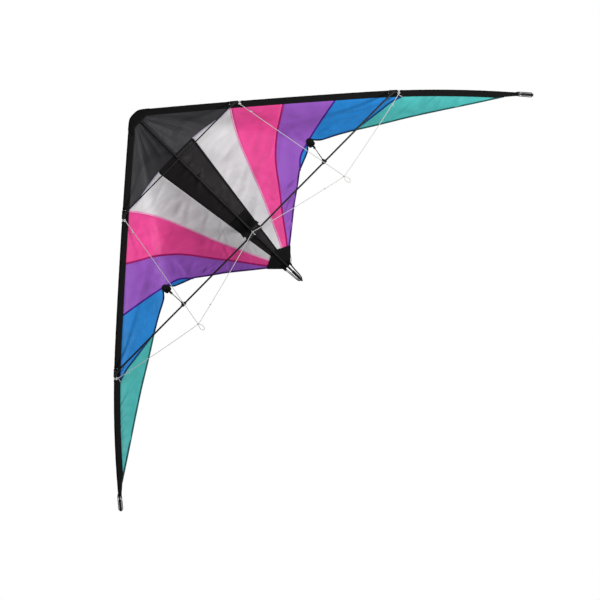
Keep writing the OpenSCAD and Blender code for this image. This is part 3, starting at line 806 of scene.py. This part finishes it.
def calm(grid):
    """0 on and round the patches, rising to 1 away from them."""
    share = np.ones(grid.shape[:2])
    for spot, reach in CALM_SPOTS:
        away = np.hypot(np.abs(grid[..., 0]) - spot[0], grid[..., 1] - spot[1])
        share = share * np.clip((away - reach) / CALM_EDGE, 0, 1)
    return share


def cut_size(points):
    """Width and length of the smallest upright or turned box round a flat outline."""
    best = None
    for angle in np.radians(np.arange(0, 90, 2)):
        turned = points @ np.array([[np.cos(angle), -np.sin(angle)],
                                    [np.sin(angle), np.cos(angle)]])
        size = np.ptp(turned, axis=0)
        if best is None or size.prod() < best.prod():
            best = size
    return float(best.min()), float(best.max())


def panel_area(points):
    """Area of a grid of 3D points."""
    a, b = points[1:, 1:] - points[:-1, :-1], points[1:, :-1] - points[:-1, 1:]
    return float(np.linalg.norm(np.cross(a, b), axis=-1).sum() / 2)


def above_notch(grid):
    """Moves points that a bent grid puts below the trailing edge's notch up to that edge."""
    edge_x, edge_z = notch_edge(np.linspace(0, 1, 200)).T
    lowest = np.interp(grid[..., 0], edge_x, edge_z, left=-1, right=-1)
    return np.stack([grid[..., 0], np.maximum(grid[..., 1], lowest)], -1)


def make_panel(name, edges, sign, material, slot, node, count, lengthwise, seed):
    start, end, side_a, side_b = edges
    probe = coons(start, end, side_a, side_b, 9, 9)
    long = np.linalg.norm(np.diff(probe[:, 4], axis=0), axis=1).sum()
    wide = np.linalg.norm(np.diff(probe[4], axis=0), axis=1).sum()
    rows, cols = max(12, int(long / CELL)), max(12, int(wide / CELL))
    grid = above_notch(coons(start, end, side_a, side_b, rows, cols))
    spots, normals = sail_frame(grid, sign)
    draw = random.Random(seed)
    height = ripples(grid, count, lengthwise, draw) * calm(grid) * RIPPLE_HIGH
    piece = make_mesh(name, spots + normals * height[..., None],
                      grid_faces(rows, cols, flip=sign < 0), material)
    thicken(piece, CLOTH_THICK)
    area = panel_area(spots)
    scale = math.sqrt(area / panel_area(np.stack([grid[..., 0], 0 * grid[..., 0],
                                                  grid[..., 1]], -1)))
    width, length = cut_size(grid.reshape(-1, 2) * scale)
    attach(piece, slot, node)
    sheets_waiting.append((piece, dict(flat=(width, length), held="stretched", area=area,
                                       rests_on=["spine", "le_upper_spar_" + "lr"[sign > 0]])))
    return piece


panels = {}
for index, (key, row) in enumerate(PANELS.items()):
    start, end, side_a, side_b, slot, tone, turn, count, lengthwise = row
    for suffix, sign in SIDES.items():
        material = ripstop(f"{key} ripstop {suffix}", linear(*tone, LIT), turn * sign)
        panels[f"{key}_{suffix}"] = make_panel(
            f"{key}_cloth_{suffix}", (start, end, side_a, side_b), sign, material, slot,
            f"{key}_panel_{suffix}", count, lengthwise, 10 * index + (sign > 0))

full_seam = joined(center_seam, center_end, 0.93)
center_material = ripstop("center ripstop", linear(29, 26, 27, LIT), 0.0, 0.5)
panels["center"] = make_panel(
    "center_cloth",
    (straight((-0.073, -0.180), (0.073, -0.180)), straight((-0.004, -0.656), (0.004, -0.656)),
     flipped(full_seam), full_seam), 1, center_material, "center_cloth", "center_panel",
    30, False, 90)

# ---- Seams, hems and stitches ----
SEAM_HALF = 0.0028
SEAM_THICK = 0.0005
SEAM_ROW = 0.0015        # the stitches' distance from the seam's middle
HEM_WIDE = 0.0045
HEM_THICK = 0.0006
TAPES = {
    # name: curve, colour of the tape, colour of the thread, slot, points
    "center_seam": (full_seam, (24, 22, 24), (40, 38, 40), "center_cloth", 70),
    "grey_seam": (grey_seam, (232, 150, 190), (244, 214, 228), "pink_cloth", 80),
    "pink_seam": (pink_seam, (164, 22, 104), (190, 60, 130), "pink_cloth", 80),
    "purple_seam": (purple_seam, (66, 26, 140), (96, 60, 160), "purple_cloth", 50),
    "blue_seam": (blue_seam, (10, 62, 118), (40, 96, 150), "blue_cloth", 40),
    "nose_hem": (nose_hem, (196, 192, 208), (120, 110, 150), "grey_cloth", 50),
    "nose_band": (nose_middle, (26, 26, 28), (44, 44, 46), "center_cloth", 30),
}
HEMS = {
    # name: curve, colour, slot, points; the cloth is on the left of a right wing's curve
    "inner_hem": (lambda share: inner_edge(1 - np.asarray(share, float)), (70, 32, 104),
                  "purple_cloth", 60),
    "notch_hem": (notch_edge, (16, 40, 84), "blue_cloth", 70),
    "outer_hem": (outer_edge, (34, 84, 84), "teal_cloth", 80),
}


def sew(curve, sign, count, section, rows, lift, slant=0.0):
    """A tape or hem along a curve, and its rows of stitches, as two collections of parts."""
    strip, stitches = Parts(), Parts()
    ribbon(strip, curve, sign, count, section)
    for across in rows:
        stitch_row(stitches, curve, sign, across, lift, slant)
    return strip, stitches


trim = {"l": [], "r": []}
for key, (curve, tone, thread, slot, count) in TAPES.items():
    tape_material = heavy_cloth(key + " tape", linear(*tone, LIT), 0.6, 0.0009, 0.2)
    thread_material = braid(key + " thread", linear(*thread, LIT), 0.0006, 0.25)
    for suffix, sign in SIDES.items():
        tape, stitches = sew(curve, sign, count, tape_section(SEAM_HALF, SEAM_THICK),
                             (-SEAM_ROW, SEAM_ROW), SEAM_THICK * 1.2)
        trim[suffix] += [
            attach(tape.build(f"{key}_tape_{suffix}", tape_material), slot),
            attach(stitches.build(f"{key}_stitches_{suffix}", thread_material, False), slot)]
for key, (curve, tone, slot, count) in HEMS.items():
    hem_material = heavy_cloth(key + " cloth", linear(*tone, LIT), 0.6, 0.0009, 0.2)
    thread_material = braid(key + " thread", shaded(linear(*tone, LIT), 1.8), 0.0006, 0.25)
    for suffix, sign in SIDES.items():
        hem, stitches = sew(curve, sign, count, hem_section(HEM_WIDE, HEM_THICK),
                            (HEM_WIDE * 0.62,), HEM_THICK * 1.15, 0.5)
        trim[suffix] += [
            attach(hem.build(f"{key}_{suffix}", hem_material), slot),
            attach(stitches.build(f"{key}_stitches_{suffix}", thread_material, False), slot)]

# ---- Leading edge sleeves ----
sleeve_material = heavy_cloth("sleeve cloth", linear(15, 15, 16), 0.7, 0.0012, 0.35)
black_thread = braid("black thread", linear(34, 34, 36), 0.0006, 0.25)
SLEEVE_R = 0.0044
SLEEVE_THICK = 0.0004
FLANGE = -0.0158         # the sleeve's inner edge, sewn to the sail
FLANGE_Y = 0.0042
FLANGE_HALF = 0.0008
TAPER_START = SLEEVE_END - 0.066
TIP_FLANGE = -0.0056


def flange_out(along):
    """The sleeve's inner edge, which narrows towards the wing tip."""
    share = np.clip((along - TAPER_START) / (SLEEVE_END - TAPER_START), 0, 1)
    return FLANGE + (TIP_FLANGE - FLANGE) * share


def sleeve_section(extra=0.0, inner=FLANGE):
    """(out, y) of the sleeve round its tube: a drop whose point is sewn to the sail."""
    radius = SLEEVE_R + extra
    reach = math.hypot(inner, FLANGE_Y - FLANGE_HALF)
    toward = math.atan2(FLANGE_Y - FLANGE_HALF, inner)
    front = toward + math.acos(radius / reach)
    arc = np.linspace(math.radians(93), front - 2 * math.pi, 18)
    section = [(inner - extra, FLANGE_Y + FLANGE_HALF + extra),
               (inner * 0.5, FLANGE_Y + FLANGE_HALF + extra)]
    section += [(radius * math.cos(a), radius * math.sin(a)) for a in arc]
    last = np.array(section[-1])
    tip = np.array([inner - extra, FLANGE_Y - FLANGE_HALF - extra])
    section += [tuple(last + (tip - last) * k) for k in (0.33, 0.66, 1)]
    return section


def sleeve_run(parts, start, end, sign, extra=0.0, wavy=True):
    """One length of sleeve, a little uneven, or with extra a binding round it."""
    count = max(4, int((end - start) / 0.006))
    rings = []
    for along in np.linspace(start, end, count):
        section = sleeve_section(extra, float(flange_out(along)))
        wave = 1 + (0.02 * math.sin(along * 310) + 0.015 * math.sin(along * 127 + 1)) * wavy
        ring = []
        for k, (out, y) in enumerate(section):
            dip = 0.00035 * math.sin(along * 240 + 2) * wavy if k >= len(section) - 3 else 0
            spot = le_point(along, out * (wave if out > -0.006 else 1))
            ring.append((spot[0] * sign, (y + dip) * (wave if out > -0.006 else 1), spot[1]))
        rings.append(ring)
    faces = grid_faces(count, len(section), False, True, sign < 0)
    parts.add(np.array(rings), faces)


def flange_line(start, end):
    """The row of stitches just outside the sleeve's inner edge."""
    def curve(share):
        along = start + (end - start) * np.asarray(share, float)
        return le_point(along, flange_out(along) + 0.0022)
    return curve


GAP_ABOVE = 0.0145       # the sleeve stops just above each connector
GAP_BELOW = 0.0215       # and starts again below the hitch
RUNS = [(SLEEVE_START, UPPER_AT - GAP_ABOVE), (UPPER_AT + GAP_BELOW, LOWER_AT - GAP_ABOVE),
        (LOWER_AT + GAP_BELOW, SLEEVE_END)]
BINDING = 0.007
STRIP_EDGE = -0.0064     # the sleeve's inner edge runs on behind each connector
TAB_R = 0.0019           # cloth tabs that hold the ends of the tip's elastic
TAB_ROUTE = [(-0.0540, 0.0030), (-0.0500, 0.0044), (-0.0455, 0.0052), (-0.0405, 0.0056)]
STRIP_PAST = 0.003       # how far a strip runs in under the sleeve at each end
STRIP_HALF = 0.0006
STRIP_RINGS = 14


def sleeve_lengths(sign):
    """The sleeve in its three lengths, the bindings of its cut ends, and its stitches."""
    sleeve, binding, stitches = Parts(), Parts(), Parts()
    for number, (start, end) in enumerate(RUNS):
        sleeve_run(sleeve, start, end, sign)
        if number > 0:
            sleeve_run(binding, start - 0.0006, start + BINDING, sign, 0.0005, False)
        sleeve_run(binding, end - BINDING, end + 0.0006, sign, 0.0005, False)
        stitch_row(stitches, flange_line(start + 0.004, end - 0.004), sign, 0,
                   FLANGE_HALF * 1.15, 0.6, 0.0040)
    return sleeve, binding, stitches


def gap_strips(sign):
    """The sleeve's inner edge behind each connector, with a rolled rim."""
    strip = Parts()
    corners = [(FLANGE, STRIP_HALF), (STRIP_EDGE, STRIP_HALF), (STRIP_EDGE, -STRIP_HALF),
               (FLANGE, -STRIP_HALF)]
    for middle in (UPPER_AT, LOWER_AT):
        half = GAP_HALF + STRIP_PAST
        span = np.linspace(middle - half, middle + half, STRIP_RINGS)
        rings = []
        for along in span:
            spots = [(le_point(along, out), FLANGE_Y + lift) for out, lift in corners]
            rings.append([(spot[0] * sign, y, spot[1]) for spot, y in spots])
        strip.loft(rings, flip=sign < 0)
        rim = le_point(span, STRIP_EDGE)
        strip.tube(np.stack([rim[:, 0] * sign, np.full(STRIP_RINGS, FLANGE_Y), rim[:, 1]], -1),
                   0.001)
    return strip


def elastic_tabs(sign):
    """The two tabs beside the sleeve's end that hold the tip's elastic."""
    tabs = Parts()
    for edge in (-1, 1):
        places = [le_point(TIP_ALONG + along, out * edge) for along, out in TAB_ROUTE]
        tabs.tube(catmull3([(p[0] * sign, 0, p[1]) for p in places], 10), TAB_R)
    return tabs


section = np.array(sleeve_section())
SLEEVE_FLAT = (curve_length(np.vstack([section, section[:1]])),
               sum(end - start for start, end in RUNS))
for suffix, sign in SIDES.items():
    sleeve, binding, stitches = sleeve_lengths(sign)
    sleeve_piece = attach(sleeve.build("sleeve_" + suffix, sleeve_material),
                          "sleeve_cloth", "le_sleeve_" + suffix)
    binding_piece = binding.build("sleeve_binding_" + suffix, sleeve_material)
    thread_piece = stitches.build("sleeve_stitches_" + suffix, black_thread, False)
    strip_piece = gap_strips(sign).build("sleeve_strip_" + suffix, sleeve_material)
    tab_piece = elastic_tabs(sign).build("tip_elastic_tabs_" + suffix, sleeve_material)
    thicken(sleeve_piece, SLEEVE_THICK, -1)
    thicken(binding_piece, SLEEVE_THICK, -1)
    for piece in (binding_piece, thread_piece, strip_piece, tab_piece):
        attach(piece, "sleeve_cloth")
    sheets_waiting.append((sleeve_piece, dict(
        flat=SLEEVE_FLAT, held="folded", rests_on=["le_upper_spar_" + suffix],
        with_pieces=[binding_piece, thread_piece, strip_piece])))

# ---- Nose strap: heavy webbing folded over the nose ----
webbing_material = heavy_cloth("nose webbing", linear(14, 14, 15), 0.0, 0.0016, 0.5)
STRAP_FRONT = -0.0058
STRAP_BACK = 0.0092
STRAP_HALF = 0.047
STRAP_FLAT = (0.086, 0.094)
STRAP_OVER = 0.0071      # how far the strap's edge is above the tube's axis
SHOULDER_ROUND = 0.0070
STRAP_BOTTOM = -0.034    # its lower edge in the middle
STRAP_DEEP = 0.021       # and that edge's distance below the tube's axis further out


def nose_outline(x):
    """Top and bottom of the folded strap at a distance from the middle."""
    out = abs(x)
    le_x, le_z = le_point(np.linspace(-0.03, 0.08, 80)).T
    slope_z = np.interp(out, le_x, le_z)
    gap = slope_z + STRAP_OVER
    top = (gap - math.hypot(gap, SHOULDER_ROUND)) / 2
    lower = min(0, slope_z - STRAP_DEEP - STRAP_BOTTOM)
    bottom = STRAP_BOTTOM + lower * np.clip((out - 0.008) / 0.03, 0, 1)
    return top, bottom


def strap_faces(x, front=STRAP_FRONT, back=STRAP_BACK):
    """y of the strap's front and back, which come together towards its ends."""
    close = 0.25 * np.clip((abs(x) - 0.03) / (STRAP_HALF - 0.03), 0, 1)
    return front * (1 - close), back * (1 - 1.4 * close)


strap = Parts()
strap_rows = []
for x in np.linspace(-STRAP_HALF, STRAP_HALF, 61):
    top, bottom = nose_outline(x)
    front, back = strap_faces(x)
    fold = [(front, bottom), (front - 0.0003, bottom + (top - bottom) * 0.35),
            (front, bottom + (top - bottom) * 0.7), (front * 0.85, top - 0.0022),
            (front * 0.45, top - 0.0005), ((front + back) / 2, top),
            (back * 0.6, top - 0.0006), (back * 0.9, top - 0.0025),
            (back, bottom + (top - bottom) * 0.7), (back, bottom + (top - bottom) * 0.35),
            (back, bottom)]
    strap_rows.append([(x, y, z) for y, z in fold])
strap_rows = np.array(strap_rows)
strap.add(strap_rows, grid_faces(*strap_rows.shape[:2]))
strap_piece = strap.build("nose_webbing", webbing_material)
thicken(strap_piece, 0.0011)
strap_smooth = strap_piece.modifiers.new("soft", "SUBSURF")
strap_smooth.levels = strap_smooth.render_levels = 1
strap_thread = Parts()
for drop in (0.0035, 0.0065):
    for x in np.arange(-0.043, 0.0431, 0.0034):
        bottom = nose_outline(x)[1] + drop
        ahead = nose_outline(x + 0.0012)[1] + drop
        faces_y = strap_faces(x, STRAP_FRONT - 0.0007, STRAP_BACK + 0.0006)
        for y, push in zip(faces_y, (-0.0002, 0.0002)):
            strap_thread.tube([(x - 0.0011, y, bottom), (x, y + push, (bottom + ahead) / 2),
                               (x + 0.0012, y, ahead)], STITCH_R, sides=6)
strap_thread_piece = strap_thread.build("nose_stitches", black_thread)
attach(strap_piece, "webbing", "nose_strap")
attach(strap_thread_piece, "webbing")
strap_area = panel_area(strap_rows)
sheets_waiting.append((strap_piece, dict(
    flat=STRAP_FLAT, held="folded", area=min(strap_area, STRAP_FLAT[0] * STRAP_FLAT[1]),
    rests_on=["spine", "le_upper_spar_l", "le_upper_spar_r"],
    with_pieces=[strap_thread_piece])))

# ---- Reinforcing patches ----
patch_material = heavy_cloth("patch cloth", linear(14, 14, 15), 0.4, 0.0013, 0.4)
PATCH_STITCH_LIFT = 0.0021


def patch_piece(name, outline_edges, sign, nodes, front, thick, count=24):
    """A sewn patch: a closed pad that follows the sail between four curves."""
    grid = coons(*outline_edges, count, count)
    spots, normals = sail_frame(grid, sign)
    layers = [spots + normals * (front + lift) for lift in (thick / 2, -thick / 2)]
    n = count * count
    faces = grid_faces(count, count, flip=sign < 0)
    faces += grid_faces(count, count, flip=sign > 0, start=n)
    rim = ([k for k in range(count)] + [count * k + count - 1 for k in range(1, count)]
           + [n - 1 - k for k in range(1, count)]
           + [count * (count - 1 - k) for k in range(1, count - 1)])
    for a, b in zip(rim, rim[1:] + rim[:1]):
        quad = (a, b, n + b, n + a)
        faces.append(quad[::-1] if sign > 0 else quad)
    piece = make_mesh(name, np.vstack([layer.reshape(-1, 3) for layer in layers]), faces,
                      patch_material)
    return attach(piece, "patch_cloth", *nodes)


def tail_edges(top, corner, bottom, low):
    """Edges of the tail's patch: across its top, across its bottom, and down both sides."""
    side = joined(straight(top, corner), straight(corner, bottom))
    (top_x, top_z), (bottom_x, bottom_z) = top, bottom
    return (smooth([(-top_x, top_z), (0, top_z + 0.004), top]),
            smooth([(-bottom_x, bottom_z), (0, low), bottom]), flipped(side), side)


tee_side = smooth([(0.030, -0.446), (0.029, -0.480), (0.033, -0.506)])
tee_patch = patch_piece(
    "tee_patch_cloth",
    (straight((-0.030, -0.446), (0.030, -0.446)),
     smooth([(-0.033, -0.506), (-0.012, -0.503), (0.012, -0.503), (0.033, -0.506)]),
     flipped(tee_side), tee_side),
    1, ["tee_patch"], 0.0009, 0.0006)
tail_patch = patch_piece(
    "tail_patch_cloth",
    tail_edges((0.014, -0.604), (0.0515, -0.6235), (0.012, -0.6625), -0.665),
    1, ["tail_patch"], 0.0016, 0.0006)
tail_back = patch_piece(
    "tail_patch_back",
    tail_edges((0.014, -0.606), (0.050, -0.624), (0.010, -0.659), -0.662),
    1, [], -0.0012, 0.0005)
TUNNEL_R = 0.0022        # cloth loops that hold the ends of the tail's elastic
patch_threads = Parts()
for curve in (straight((-0.028, -0.450), (0.028, -0.450)),
              straight((-0.030, -0.501), (0.030, -0.501)),
              straight((-0.014, -0.607), (0.014, -0.607))):
    stitch_row(patch_threads, curve, 1, 0, PATCH_STITCH_LIFT, 0.4)
for curve in (smooth([(0.0275, -0.449), (0.0265, -0.480), (0.030, -0.502)]),
              straight((0.016, -0.609), (0.040, -0.627)),
              straight((0.040, -0.629), (0.010, -0.656))):
    for edge in (flipped(curve), curve):
        stitch_row(patch_threads, edge, 1, 0, PATCH_STITCH_LIFT, 0.4)
tunnels = Parts()
for end_x, end_y in ((-0.010, 0), (0.010, 0), (-0.0145, 0.0035), (0.0125, 0.0035)):
    tunnels.tube(catmull3([(end_x * 0.98, end_y, -0.6680), (end_x, end_y, -0.6635),
                           (end_x, end_y * 0.5 + 0.0030, -0.6585),
                           (end_x * 0.95, 0.0062, -0.6540)], 14), TUNNEL_R)
tunnel_piece = attach(tunnels.build("tail_elastic_tunnels", patch_material), "patch_cloth")
patch_thread_piece = attach(patch_threads.build("patch_stitches", black_thread, False),
                            "patch_cloth")


def notch_part(squeeze, lift, bow):
    """The sail's edge at the standoff, moved up by a lift, narrowed, and bowed upwards."""
    def curve(share):
        share = np.asarray(share, float)
        spot = notch_edge(0.26 + 0.44 * share)
        x = HOOK[0] + (spot[..., 0] - HOOK[0]) * squeeze
        z = spot[..., 1] + lift + bow * np.sin(np.pi * share)
        return np.stack([x, z], -1)
    return curve


TAB_HALF = 0.012
TAB_HIGH = 0.0165


def standoff_tab(sign):
    """The round tab on the sail's edge that a standoff's hook holds, square to its rod."""
    lean = math.pi / 2 - STANDOFF_LEAN
    up = np.array([0, -math.cos(lean), math.sin(lean)])
    across = np.array([math.cos(STANDOFF_SPLAY) * sign, -0.07, -0.03])
    hook = mirrored(HOOK, sign)
    rows = []
    for share in np.linspace(0, 1, 12):
        half = TAB_HALF * math.sqrt(1 - (1 - min(1, share * 1.5 + 0.25)) ** 2)
        rows.append([hook + up * (TAB_HIGH * share - 0.0002) + across * half * k
                     for k in np.linspace(-1, 1, 13)])
    tab = Parts()
    tab.add(np.array(rows), grid_faces(12, 13, flip=sign < 0))
    return tab


for suffix, sign in SIDES.items():
    low, high = notch_part(1.0, 0.0003, 0), notch_part(0.72, 0.011, 0.004)
    sides = (straight(low(0.0), high(0.0)), straight(low(1.0), high(1.0)))
    front_pad, back_pad = (
        patch_piece(f"{name}_{suffix}", (low, high, *sides), sign, nodes, lift, 0.0008, 20)
        for name, nodes, lift in (("standoff_patch_front", ["standoff_patch_" + suffix], 0.0011),
                                  ("standoff_patch_back", [], -0.0011)))
    tab_piece = standoff_tab(sign).build("standoff_tab_" + suffix, patch_material)
    thicken(tab_piece, 0.0012)
    trim[suffix] += [front_pad, back_pad, attach(tab_piece, "patch_cloth")]

for piece, facts in sheets_waiting:
    extra = facts.pop("with_pieces", [])
    if piece == panels["center"]:
        extra = [tee_patch, tail_patch, tail_back, tunnel_piece, patch_thread_piece]
    for suffix in SIDES:
        if piece == panels["purple_" + suffix]:
            extra = trim[suffix]

# ---- Rods and fittings keep their CAD shape and get their own finish ----
along_z, along_x, along_le = (600, 600, 10), (10, 600, 600), (300, 600, 300)
FINISHES = {
    "carbon z": (carbon("carbon spine", along_z), ["spine"]),
    "carbon x": (carbon("carbon spreader", along_x),
                 ["upper_spreader", "lower_spreader_l", "lower_spreader_r"]),
    "carbon le": (carbon("carbon leading edge", along_le),
                  [f"le_{part}_spar_{s}" for part in ("upper", "lower") for s in "lr"]),
    "ferrule": (moulded("ferrule", linear(92, 92, 94), 0.4, 900),
                ["le_ferrule_l", "le_ferrule_r"]),
    "rubber": (moulded("fitting rubber", linear(14, 14, 16), 0.62, 1500),
               ["center_tee"] + [f"{k}_{s}" for k in ("upper_le_connector", "standoff_clip",
                                                      "lower_le_connector") for s in "lr"]),
    "nock": (moulded("nock plastic", linear(12, 12, 13), 0.42, 1100),
             ["spine_tail_nock"] + [f"{k}_{s}" for k in ("wingtip_nock", "standoff_nock")
                                    for s in "lr"]),
    "rod": (carbon("standoff fibre", (500, 60, 500)), ["standoff_rod_l", "standoff_rod_r"]),
}
for material, names in FINISHES.values():
    for name in names:
        mesh = NODES[name].data
        mesh.materials.clear()
        mesh.materials.append(material)

# ---- Studio: white room, soft lights, pale floor well below the kite ----
scene = bpy.context.scene
scene.view_settings.view_transform = "Standard"
ROOM_LIGHT = 0.27        # the walls are seen white, and light the kite this much
world = bpy.data.worlds.new("white room")
world.use_nodes = True
room = world.node_tree
room.nodes["Background"].inputs["Color"].default_value = (1, 1, 1, 1)
seen = room.nodes.new("ShaderNodeLightPath").outputs["Is Camera Ray"]
room.links.new(ramp(room, seen, 0, 1, ROOM_LIGHT, 1), room.nodes["Background"].inputs["Strength"])
scene.world = world


def soft_light(name, place, target, size, power):
    data = bpy.data.lights.new(name, "AREA")
    data.shape = "DISK"
    data.size = size
    data.energy = power
    lamp = bpy.data.objects.new(name, data)
    scene.collection.objects.link(lamp)
    lamp.location = place
    lamp.rotation_mode = "QUATERNION"
    lamp.rotation_quaternion = (Vector(target) - Vector(place)).to_track_quat("-Z", "Y")


KITE_MIDDLE = (0, 0, -0.4)
soft_light("key", (0.5, -1.4, -2.8), KITE_MIDDLE, 0.7, 76)
soft_light("side", (1.0, -1.3, -0.2), (0.45, 0, -0.3), 0.9, 17)
soft_light("back", (-0.8, 2.6, 0.6), KITE_MIDDLE, 1.4, 90)

FLOOR_DOWN = -2.6
FLOOR_R = 1.15
floor_material, tree, shader, place = new_material("floor", 0, Specular_IOR_Level=0.2)
grain = noise(tree, place, 6, 4)
finish_material(tree, shader, mix(tree, grain, (0.84, 0.84, 0.83, 1), (0.9, 0.9, 0.9, 1)),
                ramp(tree, grain, 0.3, 0.7, 0.7, 0.85), grain, 0.0005, 0.2)
turn = np.linspace(0, 2 * np.pi, 96, endpoint=False)
floor = make_mesh("floor", np.stack([FLOOR_R * np.cos(turn), FLOOR_R * np.sin(turn),
                                     np.full(96, FLOOR_DOWN)], -1),
                  [tuple(range(96))], floor_material)
